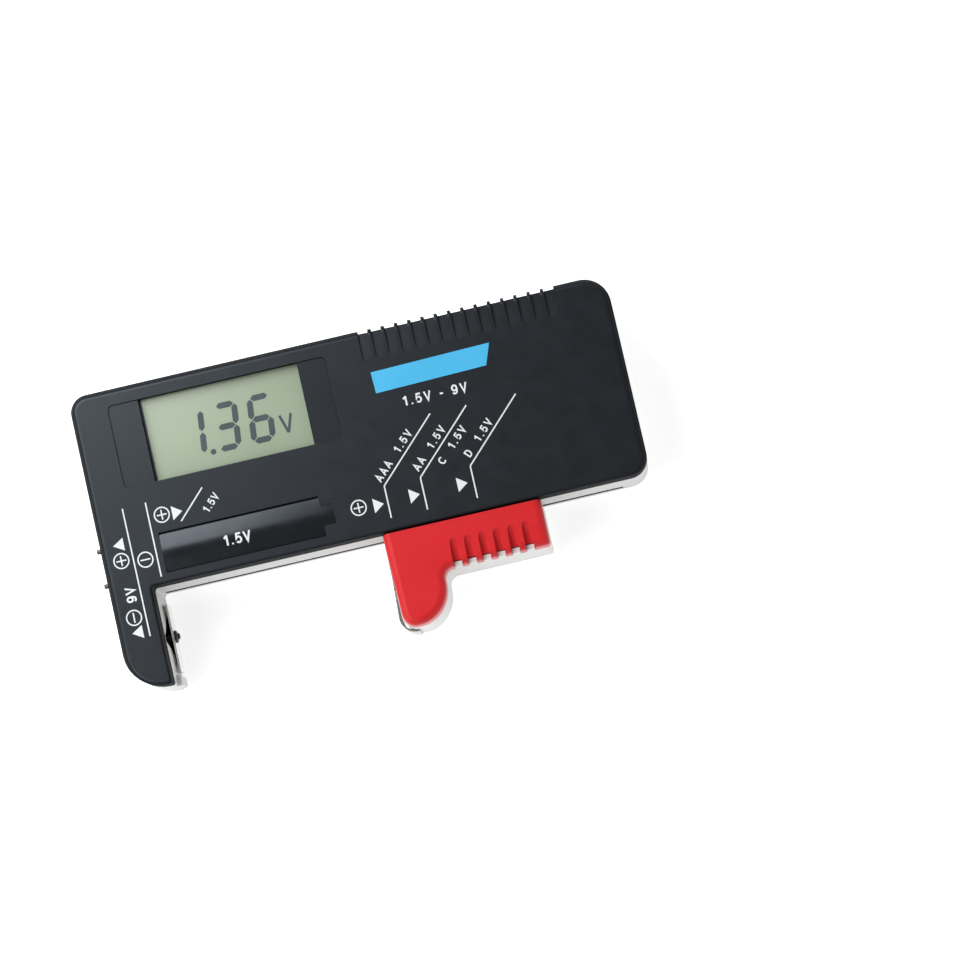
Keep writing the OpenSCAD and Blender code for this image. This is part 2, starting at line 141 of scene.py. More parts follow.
# painted shade: the housing uses a greyer copy of the slider's white plastic, darker to stand for the shade on its
# walls
M_WHITE_PAINTED_SHADE = plastic("white_plastic_painted_shade", (0.62, 0.62, 0.612), (0.675, 0.675, 0.667), 0.38, 0.48, 4200, 0.06, sss=0.04)
M_RED = plastic("red_plastic", (0.60, 0.0140, 0.0180), (0.66, 0.0180, 0.0230), 0.30, 0.38, 3800, 0.04, spec=0.34)
M_CONTACT = metal("contact_nickel", (0.66, 0.66, 0.65), (0.80, 0.80, 0.79), 0.14, 0.30)
# painted highlight: the plate's nickel is lighter than the rail's, standing for the bright surround it mirrors
M_PLATE_PAINTED_LIGHT = metal("plate_nickel_painted_light", (0.86, 0.86, 0.86), (0.94, 0.94, 0.93), 0.26, 0.42)
M_LEAF = metal("leaf_steel", (0.30, 0.28, 0.26), (0.44, 0.42, 0.39), 0.22, 0.36)
# painted reflection: the rivet's steel is made near-black, standing for a dark reflection it shows
M_RIVET_PAINTED_DARK = metal("rivet_steel_painted_dark", (0.030, 0.030, 0.031), (0.075, 0.074, 0.073), 0.24, 0.40, (1, 1, 1), 900)
M_STUD = metal("stud_brass", (0.070, 0.066, 0.047), (0.13, 0.123, 0.092), 0.26, 0.42)
# painted shade: near-black, dull material for strips that stand for shadow in the recess and the slot
M_PAINTED_SHADE = plastic("painted_shade_strips", (0.0030, 0.0030, 0.0032), (0.0045, 0.0045, 0.0048), 0.85, 0.95, 3000, 0.05, spec=0.05)
M_SCREW = metal("screw_zinc", (0.50, 0.51, 0.53), (0.66, 0.67, 0.69), 0.22, 0.42, (1, 1, 1), 500)
M_BOARD = plastic("solder_mask", (0.01, 0.10, 0.03), (0.02, 0.16, 0.05), 0.2, 0.3, 2500, 0.05)
M_EPOXY = plastic("epoxy", (0.006, 0.006, 0.006), (0.012, 0.012, 0.012), 0.15, 0.3, 900, 0.3)
M_PART = plastic("component_lacquer", (0.30, 0.18, 0.08), (0.42, 0.27, 0.13), 0.25, 0.4, 1500, 0.1)
M_SLEEVE_R = plastic("sleeve_red", (0.42, 0.02, 0.02), (0.52, 0.03, 0.03), 0.35, 0.45, 1800, 0.08)
M_SLEEVE_K = plastic("sleeve_black", (0.01, 0.01, 0.01), (0.02, 0.02, 0.02), 0.35, 0.45, 1800, 0.08)
M_RUBBER = plastic("elastomer", (0.45, 0.25, 0.28), (0.55, 0.32, 0.36), 0.6, 0.75, 1500, 0.1)
M_INK = plastic("white_ink", (0.66, 0.70, 0.73), (0.76, 0.79, 0.81), 0.45, 0.6, 5200, 0.10)
M_BLUE = plastic("blue_ink", (0.040, 0.41, 0.71), (0.060, 0.46, 0.78), 0.42, 0.55, 5200, 0.10)
M_SEG = plastic("lcd_segment", (0.050, 0.072, 0.078), (0.066, 0.092, 0.096), 0.35, 0.4, 900, 0.02, spec=0.3)


def lcd_glass():
    m, nt, b = new_mat("lcd_glass")
    c = obj_coord(nt)
    # faint clouding of the polariser
    g = noise(nt, 40, 3, 0.5, c)
    nt.links.new(ramp(nt, g, [(0.2, (0.282, 0.346, 0.246)), (0.8, (0.315, 0.384, 0.274))]), b.inputs["Base Color"])
    b.inputs["Roughness"].default_value = 0.24
    b.inputs["IOR"].default_value = 1.5
    b.inputs["Coat Weight"].default_value = 0.3
    b.inputs["Coat Roughness"].default_value = 0.15
    return m


M_LCD = lcd_glass()

for names, m in (
    (("front_cover",), M_BLACK), (("middle_frame", "rear_cover"), M_WHITE_PAINTED_SHADE), (("slider_back",), M_WHITE),
    (("display_bezel",), M_BEZEL), (("lcd_panel",), M_LCD), (("zebra_strip",), M_RUBBER),
    (("circuit_board",), M_BOARD), (("controller_blob",), M_EPOXY),
    (("load_resistors", "ceramic_capacitors"), M_PART), (("electrolytic_capacitor",), M_EPOXY),
    (("calibration_trimmer",), M_BLUE), (("board_screws", "case_screws", "slider_screws"), M_SCREW),
    (("contact_rail",), M_CONTACT), (("negative_contact",), M_PLATE_PAINTED_LIGHT),
    (("negative_button",), M_RIVET_PAINTED_DARK), (("slider_contact",), M_LEAF),
    (("nine_volt_positive_contact", "nine_volt_negative_contact"), M_STUD),
    (("negative_lead", "nine_volt_negative_lead"), M_SLEEVE_K),
    (("rail_lead", "nine_volt_positive_lead"), M_SLEEVE_R), (("slider_front",), M_RED)):
    for n in names:
        N[n].data.materials.clear()
        N[n].data.materials.append(m)


# ---------------------------------------------------------------- mesh tools
def finish_mesh(name, bm, mat, smooth=True, angle=30):
    bmesh.ops.remove_doubles(bm, verts=bm.verts, dist=1e-4)
    bmesh.ops.recalc_face_normals(bm, faces=bm.faces)
    me = bpy.data.meshes.new(name)
    for v in bm.verts:
        v.co *= MM
    bm.to_mesh(me)
    bm.free()
    me.materials.append(mat)
    o = bpy.data.objects.new(name, me)
    scene.collection.objects.link(o)
    if smooth:
        for p in me.polygons:
            p.use_smooth = True
        me.set_sharp_from_angle(angle=math.radians(angle))
    return o


def arc(cx, cy, r, a0, a1, n):
    return [(cx + r * math.cos(math.radians(a0 + (a1 - a0) * i / n)),
             cy + r * math.sin(math.radians(a0 + (a1 - a0) * i / n))) for i in range(n + 1)]


def house_outline(d, n=10, di=None, de=None):
    """The L-shaped outline, d inside the outer face, counter-clockwise, always the same number of points.
    The sides that face the jaws are di inside it and the arm's end is de inside it."""
    di = d if di is None else di
    de = d if de is None else de
    p = []

    def convex(x, y, sx, sy, dx, dy, r, a0):
        p.extend(arc(x - sx * (dx + r), y - sy * (dy + r), r, a0, a0 + 90, n))
    convex(XR, YB, 1, -1, d, di, max(4.0 - d, 0.06), -90)
    convex(XR, YT, 1, 1, d, d, max(5.5 - d, 0.06), 0)
    convex(XL, YT, -1, 1, d, d, max(3.7 - d, 0.06), 90)
    # the arm is narrow, so its two end radii share what width is left
    small = max(0.5 - max(di, de), 0.06)
    convex(XL, YA, -1, -1, d, de, min(7.6 - d, XA - XL - d - di - small - 0.02), 180)
    convex(XA, YA, 1, -1, di, de, small, 270)
    rr = 0.8 + di
    p.extend(arc(XA - di + rr, YB + di - rr, rr, 180, 90, n))
    return p


def skin(bm, rings, close_first=False, close_last=False, loop=False):
    """Quads between rings of equal length. A ring is a list of 3-D points."""
    vs = [[bm.verts.new(q) for q in r] for r in rings]
    k = len(vs[0])
    pairs = list(zip(vs, vs[1:])) + ([(vs[-1], vs[0])] if loop else [])
    for a, b in pairs:
        for i in range(k):
            j = (i + 1) % k
            bm.faces.new((a[i], a[j], b[j], b[i]))
    if close_first:
        bm.faces.new(list(reversed(vs[0])))
    if close_last:
        bm.faces.new(vs[-1])
    return vs


def ring(d, z, outline=house_outline):
    return [(x, y, z) for x, y in outline(d)]


def prism(bm, pts, z0, z1, axis="z"):
    def at(u, v, w):
        return {"z": (u, v, w), "x": (w, u, v), "y": (u, w, v)}[axis]
    skin(bm, [[at(u, v, z0) for u, v in pts], [at(u, v, z1) for u, v in pts]], True, True)


def box_pts(x0, x1, y0, y1, r=0.0, n=6):
    if r <= 0:
        return [(x0, y0), (x1, y0), (x1, y1), (x0, y1)]
    return (arc(x1 - r, y0 + r, r, -90, 0, n) + arc(x1 - r, y1 - r, r, 0, 90, n)
            + arc(x0 + r, y1 - r, r, 90, 180, n) + arc(x0 + r, y0 + r, r, 180, 270, n))


def circle_pts(cx, cy, r, n=40):
    return [(cx + r * math.cos(2 * math.pi * i / n), cy + r * math.sin(2 * math.pi * i / n)) for i in range(n)]


def cutter(make):
    bm = bmesh.new()
    make(bm)
    return finish_mesh("cutter", bm, M_BLACK, False)


def boolean(o, tool, op="DIFFERENCE"):
    md = o.modifiers.new("b", "BOOLEAN")
    md.operation = op
    md.solver = "EXACT"
    md.object = tool
    apply_mods(o)
    bpy.data.objects.remove(tool, do_unlink=True)


def apply_mods(o):
    dg = bpy.context.evaluated_depsgraph_get()
    dg.update()
    me = bpy.data.meshes.new_from_object(o.evaluated_get(dg), preserve_all_data_layers=True, depsgraph=dg)
    old = o.data
    o.modifiers.clear()
    o.data = me
    bpy.data.meshes.remove(old)


def dress(o, mat, width=0.12, segs=2, angle=35):
    """Small moulded radius on the sharp edges, then smooth shading."""
    me = o.data
    me.materials.clear()
    me.materials.append(mat)
    for p in me.polygons:
        p.material_index = 0
    if width:
        bm = bmesh.new()
        bm.from_mesh(me)
        bmesh.ops.remove_doubles(bm, verts=bm.verts, dist=2e-6)
        bmesh.ops.dissolve_limit(bm, angle_limit=math.radians(0.4), verts=bm.verts, edges=bm.edges)
        bm.to_mesh(me)
        bm.free()
        md = o.modifiers.new("bev", "BEVEL")
        md.width = width * MM
        md.segments = segs
        md.limit_method = "ANGLE"
        md.angle_limit = math.radians(angle)
        md.use_clamp_overlap = True
        md.harden_normals = False
        apply_mods(o)
    for p in o.data.polygons:
        p.use_smooth = True
    o.data.set_sharp_from_angle(angle=math.radians(40))
    w = o.modifiers.new("wn", "WEIGHTED_NORMAL")
    w.keep_sharp = True
    w.weight = 80
    return o


def keep(o, body, *nodes, slot=None):
    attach(o, body)
    if nodes:
        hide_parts(*nodes)
    return o


# ---------------------------------------------------------------- front cover
R = 1.5
bm = bmesh.new()
rings = [ring(0, ZP + 0.02)]


def edge_inset(r, z):
    h = z - (T - r)
    return 0.0 if h <= 0 else r - math.sqrt(max(r * r - h * h, 0.0))


for i in range(15):
    a = math.radians(90 * i / 14)
    z = T - R + R * math.sin(a)
    rings.append([(x, y, z) for x, y in house_outline(R - R * math.cos(a), di=edge_inset(0.5, z), de=edge_inset(0.8, z))])
vs = skin(bm, rings)
bm.faces.new(vs[-1])
inner = skin(bm, [ring(WALL, ZP + 0.02), ring(WALL, ZI)])
bm.faces.new(list(reversed(inner[-1])))
k = len(vs[0])
for i in range(k):
    j = (i + 1) % k
    bm.faces.new((inner[0][i], inner[0][j], vs[0][j], vs[0][i]))
front = finish_mesh("cover_front", bm, M_BLACK, False)

boolean(front, cutter(lambda b: prism(b, box_pts(*DISP, r=1.0), ZI - 1, T + 2)))

RX, RL, RH, RY, RD = -43.3, 32.9, 8.2, -4.5, 0.6
crown = ((RH / 2) ** 2 + RD ** 2) / (2 * RD)


def crown_pts(h):
    n = 40
    pts = [(RY - h + 2 * h * i / n, 0) for i in range(n + 1)]
    pts = [(y, T - 0.02 - crown + math.sqrt(crown ** 2 - (y - RY) ** 2)) for y, _ in pts]
    return pts + [(RY + h, T + 1), (RY - h, T + 1)]


boolean(front, cutter(lambda b: prism(b, crown_pts(RH / 2), RX, RX + RL, "x")))
boolean(front, cutter(lambda b: prism(b, crown_pts(2.07), RX + RL - 0.01, RX + RL + 2.5, "x")))


def flute(b, x, w=2.1):
    """Round-ended groove in the face; its floor falls towards the edge."""
    r = w / 2
    c = 24.05 + r
    pts = arc(x, c, r, 180, 360, 14) + [(x + r, YT + 2), (x - r, YT + 2)]
    low = [(px, py, T - 0.34 - 0.085 * (py - 24.05)) for px, py in pts]
    skin(b, [low, [(px, py, T + 2) for px, py in pts]], True, True)


def flute_wall(b, x, w=2.1):
    prism(b, box_pts(x - w / 2, x + w / 2, ZP + 0.8, T + 2), YT - 0.7, YT + 2, "y")


boolean(front, cutter(lambda b: [flute(b, 5.45 + 2.74 * i) for i in range(15)]))
boolean(front, cutter(lambda b: [flute_wall(b, 5.45 + 2.74 * i) for i in range(15)]))
boolean(front, cutter(lambda b: [prism(b, circle_pts(y, ZP, 0.52, 24), XL - 1, XL + 3, "x") for y in (-0.75, -7.9)]))
CASE_PTS = [(49.1, 24.95), (49.1, 3.2), (-51.2, 4.5), (-51.3, -23.95)]
boolean(front, cutter(lambda b: [prism(b, circle_pts(x, y, 2.4 if y > 0 else 1.9), SPLIT, ZI + 0.5) for x, y in CASE_PTS]), "UNION")
boolean(front, cutter(lambda b: [prism(b, circle_pts(x, y, 1.15, 24), SPLIT - 1, SPLIT + 13.6) for x, y in CASE_PTS]))
dress(front, M_BLACK, 0.10)
front.data.materials.append(M_EDGE)
front.data.materials.append(M_SIDE)
for q in front.data.polygons:
    q.material_index = 0 if q.normal.z > 0.93 else 1 if q.normal.z > 0.6 else 2
keep(front, "case", "front_cover", slot="black_plastic")


def crown_z(x, y):
    return T - 0.02 - crown + math.sqrt(crown ** 2 - (y - RY) ** 2)


# the relief's floor is polished, unlike the grained face around it
bm = bmesh.new()
for h, xa_, xb_ in ((RH / 2 - 0.03, RX + 0.03, RX + RL - 0.03), (2.04, RX + RL - 0.02, RX + RL + 2.47)):
    ys = [RY - h + 2 * h * q / 40 for q in range(41)]
    prism(bm, [(y, crown_z(0, y) + 0.008) for y in ys] + [(y, crown_z(0, y) - 0.02) for y in reversed(ys)], xa_, xb_, "x")
keep(finish_mesh("relief_floor", bm, M_GLOSS, True, 40), "case", slot="bezel_plastic")

# ---------------------------------------------------------------- middle frame
bm = bmesh.new()
c = 0.12
skin(bm, [ring(c, SPLIT), ring(0, SPLIT + c), ring(0, ZP - c), ring(c, ZP),
          ring(WALL, ZP), ring(WALL, SPLIT)], loop=True)
mid = finish_mesh("frame_middle", bm, M_WHITE_PAINTED_SHADE, False)


def lip(b):
    prism(b, [(XA - 1.2, YA + 0.02)] + arc(XA + 0.5, YA + 0.42, 0.4, -90, 0, 6)
          + arc(XA + 0.5, YA + 1.8, 0.4, 0, 90, 6) + [(XA - 1.2, YA + 2.2)], SPLIT + 0.1, 14.0)


boolean(mid, cutter(lip), "UNION")
RECESS = [(-27.3, 5.4), (-13.6, 5.4), (-14.0, 7.0), (-15.3, 8.4), (-17.3, 11.9), (-19.3, 15.4), (-20.2, 17.6),
          (-21.5, 17.6), (-22.3, 13.3), (-23.8, 9.4), (-25.6, 7.9), (-27.1, 6.7)]
boolean(mid, cutter(lambda b: prism(b, RECESS, XA - 1.35, XA + 0.4, "x")))
boolean(mid, cutter(lambda b: prism(b, box_pts(-41, 51.3, YB + WALL - 0.2, YB + WALL + 5.6), 10, 11.2)), "UNION")
boolean(mid, cutter(lambda b: prism(b, box_pts(XA + 0.6, XA + 96.7, SPLIT - 1, SPLIT + 2.4), YB - 1, YB + WALL + 0.6, "y")))
boolean(mid, cutter(lambda b: [prism(b, circle_pts(y, ZP, 0.52, 24), XL - 1, XL + 3, "x") for y in (-0.75, -7.9)]))
boolean(mid, cutter(lambda b: prism(b, box_pts(XA - WALL - 1, XA + 1, -13.86, -13.34), 6.9, 11.1)))
boolean(mid, cutter(lambda b: prism(b, circle_pts(-20.2, 10, 0.8, 24), XA - 5, XA + 3, "x")))
dress(mid, M_WHITE_PAINTED_SHADE, 0.08)
keep(mid, "case", "middle_frame", slot="white_plastic")
# painted shade: near-black strips on the bottom of that recess and on the floor of the slider's slot, standing for the
# shadow in them
bm = bmesh.new()
prism(bm, [(y, z) for y, z in RECESS], XA - 1.34, XA - 1.24, "x")
prism(bm, box_pts(XA - 1.3, XA - 0.03, -27.25, -13.65), 5.42, 5.52)
prism(bm, box_pts(XA + 0.7, XA + 96.6, YB + 0.03, YB + WALL), SPLIT + 0.005, SPLIT + 0.06)
keep(finish_mesh("painted_shade_strips", bm, M_PAINTED_SHADE, False), "case", slot="bezel_plastic")

# ---------------------------------------------------------------- rear cover
RR = 3.0
bm = bmesh.new()
rings = []
for i in range(11):
    a = math.radians(90 * i / 10)
    rings.append(ring(RR - RR * math.sin(a), RR - RR * math.cos(a)))
rings += [ring(0, SPLIT - 0.12), ring(0.12, SPLIT), ring(WALL, SPLIT), ring(WALL + 0.5, 1.8)]
skin(bm, rings, True, True)
rear = finish_mesh("cover_rear", bm, M_WHITE_PAINTED_SHADE, False)
boolean(rear, cutter(lambda b: [prism(b, circle_pts(x, y, 2.9), 1.0, SPLIT) for x, y in CASE_PTS[:3]]), "UNION")
boolean(rear, cutter(lambda b: prism(b, circle_pts(*CASE_PTS[3], 2.6), 1.0, SPLIT - 0.02)), "UNION")
boolean(rear, cutter(lambda b: [prism(b, box_pts(-45, 51, y, y + 1), 1, 2.75) for y in (-7.2, -4.2)]), "UNION")
boolean(rear, cutter(lambda b: prism(b, box_pts(-45, 51, -2.25, -1.05), 1, 8.4)), "UNION")
boolean(rear, cutter(lambda b: [prism(b, circle_pts(x, y, 2.1), -1, 3.6) for x, y in CASE_PTS]))
boolean(rear, cutter(lambda b: [prism(b, circle_pts(x, y, 1.3), 3, SPLIT + 2) for x, y in CASE_PTS]))
dress(rear, M_WHITE_PAINTED_SHADE, 0.10)
keep(rear, "case", "rear_cover", slot="white_plastic")

# ---------------------------------------------------------------- display
bm = bmesh.new()
prism(bm, box_pts(DISP[0] + 0.05, DISP[1] - 0.05, DISP[2] + 0.05, DISP[3] - 0.05, 1.0), ZI - 0.02, T - 0.4)
bez = finish_mesh("bezel", bm, M_BEZEL, False)
boolean(bez, cutter(lambda b: prism(b, box_pts(-50, -1, 7.5, 28.2), 17.6, ZI - 0.02)), "UNION")
boolean(bez, cutter(lambda b: prism(b, box_pts(GLASS[0], GLASS[1], DISP[2] - 1, DISP[3] + 1), 10, 30)))
boolean(bez, cutter(lambda b: prism(b, box_pts(-44.1, -6.5, 8.9, 38), 10, ZI)))
dress(bez, M_BEZEL, 0.10)
keep(bez, "case", "display_bezel", slot="bezel_plastic")


def seg(b, pts, z=22.0, h=0.03):
    prism(b, pts, z, z + h)


# digits, in the display's own units: 1 unit = 1 mm, slanted
def slant(pts, x0, y0):
    return [(x0 + x + 0.095 * y, y0 + y) for x, y in pts]


def bar_h(x0, x1, y, t=1.22):
    h = t / 2
    return [(x0 + h, y - h), (x1 - h, y - h), (x1, y), (x1 - h, y + h), (x0 + h, y + h), (x0, y)]


def bar_v(x, y0, y1, t=1.22):
    h = t / 2
    return [(x, y0), (x + h, y0 + h), (x + h, y1 - h), (x, y1), (x - h, y1 - h), (x - h, y0 + h)]


W7, H7 = 3.85, 8.65
SEGS = {"a": lambda: bar_h(0.15, W7 - 0.15, H7), "b": lambda: bar_v(W7, H7 / 2 + 0.12, H7 - 0.12),
        "c": lambda: bar_v(W7, 0.12, H7 / 2 - 0.12), "d": lambda: bar_h(0.15, W7 - 0.15, 0),
        "e": lambda: bar_v(0, 0.12, H7 / 2 - 0.12), "f": lambda: bar_v(0, H7 / 2 + 0.12, H7 - 0.12),
        "g": lambda: bar_h(0.15, W7 - 0.15, H7 / 2)}
bm = bmesh.new()
BASE = 13.5
for x0, on in ((-34.7, "bc"), (-27.66, "abgcd"), (-20.6, "afgecd")):
    for s in on:
        seg(bm, slant(SEGS[s](), x0, BASE))
seg(bm, circle_pts(-29.1, BASE - 0.15, 0.58, 20))


def stroke(x0, y0, x1, y1, t):
    dx, dy = x1 - x0, y1 - y0
    l = math.hypot(dx, dy)
    nx, ny = -dy / l * t / 2, dx / l * t / 2
    return [(x0 + nx, y0 + ny), (x0 - nx, y0 - ny), (x1 - nx, y1 - ny), (x1 + nx, y1 + ny)]


seg(bm, stroke(-14.6, 17.5, -13.42, 13.75, 0.56))
seg(bm, stroke(-12.24, 17.5, -13.42, 13.75, 0.56), z=22.0, h=0.029)
digits = finish_mesh("display_digits", bm, M_SEG, False)
keep(digits, "case", slot="display_glass")
# painted shade: a black strip along the left edge of the glass, inside the bezel's window, standing for the shadow of
# the bezel's wall
bm = bmesh.new()
prism(bm, box_pts(GLASS[0] - 0.1, GLASS[0] + 0.42, DISP[2] + 0.05, DISP[3] - 0.05), 22.0, 22.35)
keep(finish_mesh("display_edge_shade", bm, M_BEZEL, False), "case", slot="bezel_plastic")

# ---------------------------------------------------------------- printing
bm_ink = bmesh.new()
Z_INK = T
H_INK = 0.015


def P(u, v):
    """Place on the face from grid coordinates u, v at 12.11 to the mm."""
    return (u - 120) / 12.11 - 55, 30 - (v - 133) / 12.11 - 0.3


_level = [0]


def ink(pts, bmx=None):
    _level[0] = (_level[0] + 1) % 7
    prism(bmx or bm_ink, pts, Z_INK, Z_INK + H_INK + 0.0006 * _level[0])


def line(u0, v0, u1, v1, t=0.28):
    ink(stroke(*P(u0, v0), *P(u1, v1), t))


def tri(u, v, w=2.1, h=3.0, a=0):
    """Arrowhead w long and h across its base, pointing along a."""
    x, y = P(u, v)
    ca, sa = math.cos(math.radians(a)), math.sin(math.radians(a))
    ink([(x + px * ca - py * sa, y + px * sa + py * ca) for px, py in ((w / 2, 0), (-w / 2, h / 2), (-w / 2, -h / 2))])


def sign(u, v, plus, turned=False, r=1.64, t=0.27):
    """Ring with a plus or a minus; turned sets the minus along Y."""
    x, y = P(u, v)
    z0, z1 = Z_INK, Z_INK + H_INK
    outer, inn = circle_pts(x, y, r), circle_pts(x, y, r - t)
    skin(bm_ink, [[(p, q, z0) for p, q in outer], [(p, q, z1) for p, q in outer],
                  [(p, q, z1) for p, q in inn], [(p, q, z0) for p, q in inn]], loop=True)
    l = r * 0.62
    if plus or not turned:
        ink(stroke(x - l, y, x + l, y, t))
    if plus or turned:
        ink(stroke(x, y - l, x, y + l, t))


def ell(cx, cy, rx, ry, a0, a1, n=18):
    return [(cx + rx * math.cos(math.radians(a0 + (a1 - a0) * i / n)),
             cy + ry * math.sin(math.radians(a0 + (a1 - a0) * i / n))) for i in range(n + 1)]


# plain strokes on a cap height of 1: (advance, [(closed, points), ...])
GLYPHS = {
    "1": (0.56, [(False, [(0.08, 0.72), (0.22, 0.80), (0.34, 0.94)]), (False, [(0.36, 0.0), (0.36, 1.0)])]),
    "5": (0.68, [(False, [(0.58, 0.93), (0.19, 0.93), (0.125, 0.50)] + ell(0.325, 0.345, 0.245, 0.27, 125, -145))]),
    "9": (0.68, [(True, ell(0.33, 0.66, 0.235, 0.27, 0, 340, 17)),
                 (False, ell(0.33, 0.50, 0.235, 0.43, 18, -20, 6) + ell(0.315, 0.345, 0.235, 0.27, -20, -150, 10))]),
    "V": (0.74, [(False, [(0.06, 1.0), (0.36, 0.05), (0.66, 1.0)])]),
    "A": (0.76, [(False, [(0.06, 0.0), (0.37, 0.95), (0.68, 0.0)]), (False, [(0.17, 0.32), (0.57, 0.32)])]),
    "C": (0.82, [(False, ell(0.42, 0.5, 0.32, 0.42, 42, 318, 24))]),
    "D": (0.80, [(True, [(0.13, 0.07), (0.36, 0.07)] + ell(0.36, 0.5, 0.30, 0.43, -80, 80, 14) + [(0.36, 0.93), (0.13, 0.93)])]),
    ".": (0.30, [(False, [(0.15, 0.0), (0.15, 0.155)])]),
    "-": (0.50, [(False, [(0.08, 0.42), (0.42, 0.42)])]),
    " ": (0.34, []),
}


def strip(b, pts, t, closed, at, dz):
    """A flat stroke of width t along pts, mitred at its corners."""
    n = len(pts)
    rings = []
    for i in range(n):
        a = pts[i - 1] if (closed or i > 0) else None
        c = pts[(i + 1) % n] if (closed or i < n - 1) else None
        q = pts[i]
        ds = []
        for u, v in ((a, q), (q, c)):
            if u and v:
                l = math.hypot(v[0] - u[0], v[1] - u[1])
                ds.append(((v[0] - u[0]) / l, (v[1] - u[1]) / l))
        dx, dy = sum(d[0] for d in ds), sum(d[1] for d in ds)
        l = math.hypot(dx, dy)
        nx, ny = -dy / l, dx / l
        m = 1.0 if len(ds) == 1 else min(1 / max(abs(nx * -ds[0][1] + ny * ds[0][0]), 0.2), 2.6)
        h = t / 2 * m
        lf, rt = (q[0] + nx * h, q[1] + ny * h), (q[0] - nx * h, q[1] - ny * h)
        rings.append([at(*lf, 0), at(*rt, 0), at(*rt, dz), at(*lf, dz)])
    skin(b, rings, not closed, not closed, loop=closed)


def finer(pts, closed, step=0.09):
    """More points along a stroke, so that it can follow a curved surface."""
    out = []
    ends = pts[1:] + ([pts[0]] if closed else [])
    for a, b in zip(pts, ends):
        n = max(1, round(math.hypot(b[0] - a[0], b[1] - a[1]) / step))
        out += [(a[0] + (b[0] - a[0]) * i / n, a[1] + (b[1] - a[1]) * i / n) for i in range(n)]
    return out + ([] if closed else [pts[-1]])


def label(text, u, v, size, ang, mat, name, zf=None, gap=0.08, weight=0.185):
    """Generic cell sizes and voltages only. size is the cap height."""
    w = sum(GLYPHS[ch][0] + gap for ch in text) - gap
    cx, cy = P(u, v)
    ca, sa = math.cos(math.radians(ang)), math.sin(math.radians(ang))
    b = bmesh.new()
    x0 = -w / 2
    for ch in text:
        adv, parts = GLYPHS[ch]
        for k, (closed, pts) in enumerate(parts):
            if zf:
                pts = finer(pts, closed)

            def at(px, py, dz):
                lx, ly = (px + x0) * size, (py - 0.5) * size
                x, y = cx + lx * ca - ly * sa, cy + lx * sa + ly * ca
                return (x, y, (zf(x, y) if zf else T) + dz)
            strip(b, pts, weight, closed, at, 0.016 - 0.0012 * k)
        x0 += adv + gap
    return keep(finish_mesh(name, b, mat, False), "case", slot="black_plastic")


# left column, read from the side
line(189, 420, 190, 738)
line(247, 418, 247, 603)
tri(161, 505, 2.2, 2.65, 180)
sign(160, 544, True)
label("9V", 165, 630, 2.0, 90, M_INK, "label_9v", gap=0.16)
sign(161, 686, False, True)
tri(162, 723, 2.2, 2.65, 180)
sign(218, 554, False)
# small round cells
sign(280, 456, True)
tri(318, 458, 2.1, 2.9, 0)
line(323, 482, 390, 413)
label("1.5V", 403, 454, 1.55, 45, M_INK, "label_small_cells", gap=0.14)
# places of the round cells
sign(751, 548, True)
tri(800, 552, 2.1, 2.95, 0)
for x_line, x_end in ((823, 970), (913, 1060), (1037, 1183)):
    line(x_line, 510, x_line, 590)
    line(x_line, 510, x_end, 363)
tri(890, 549, 2.1, 2.95, 0)
tri(1009, 548, 2.1, 2.95, 0)
label("AAA  1.5V", 861, 443, 1.62, 45, M_INK, "label_aaa", gap=0.26)
label("AA  1.5V", 949, 445, 1.62, 45, M_INK, "label_aa", gap=0.26)
label("C  1.5V", 1005, 450, 1.62, 45, M_INK, "label_c", gap=0.26)
label("D  1.5V", 1071, 447, 1.62, 45, M_INK, "label_d", gap=0.26)
label("1.5V", 447, 553, 2.1, 0, M_INK, "label_relief", zf=crown_z, gap=0.14)
label("1.5V - 9V", 992, 319, 1.95, 0, M_INK, "label_row", gap=0.24)
prints = finish_mesh("face_marks", bm_ink, M_INK, False)
keep(prints, "case", slot="black_plastic")
bm = bmesh.new()
prism(bm, [P(853, 285), P(1129, 279), P(1148, 226), P(851, 232)], T, T + 0.015)
keep(finish_mesh("face_band", bm, M_BLUE, False), "case", slot="black_plastic")


# ---------------------------------------------------------------- slider
def slider_outline(d, du=None, lean=0.0):
    """Jaw and handle, d inside the outer face, counter-clockwise from the jaw's lower left. The upper
    side, next to the housing, is only du inside it, so that its edge stays crisp. The jaw's left side
    draws back by lean towards its tip."""
    du = min(d, 0.15) if du is None else du
    x0, x1 = SX + d, SX + SL - d
    yu = YB - 0.2 - du
    p = []
    p += arc(SX + 2.9 + lean, JAW + 2.9, 2.9 - d, 180, 262, 10)
    p += arc(3.5, -22.9, 7.3 - d, 278, 360, 24)
    p += arc(12.9, -22.35, 2.1 + d, 180, 90, 10)
    r = max(0.8 - d, 0.05)
    p += arc(x1 - r, -20.25 + d + r, r, -90, 0, 6)
    r = max(0.6 - d, 0.05)
    p += arc(x1 - r, yu - r, r, 0, 90, 5)
    p += arc(x0 + r, yu - r, r, 90, 180, 5)
    return p


def sring(d, z, du=None, lean=0.0):
    return [(x, y, z) for x, y in slider_outline(d, du, lean)]


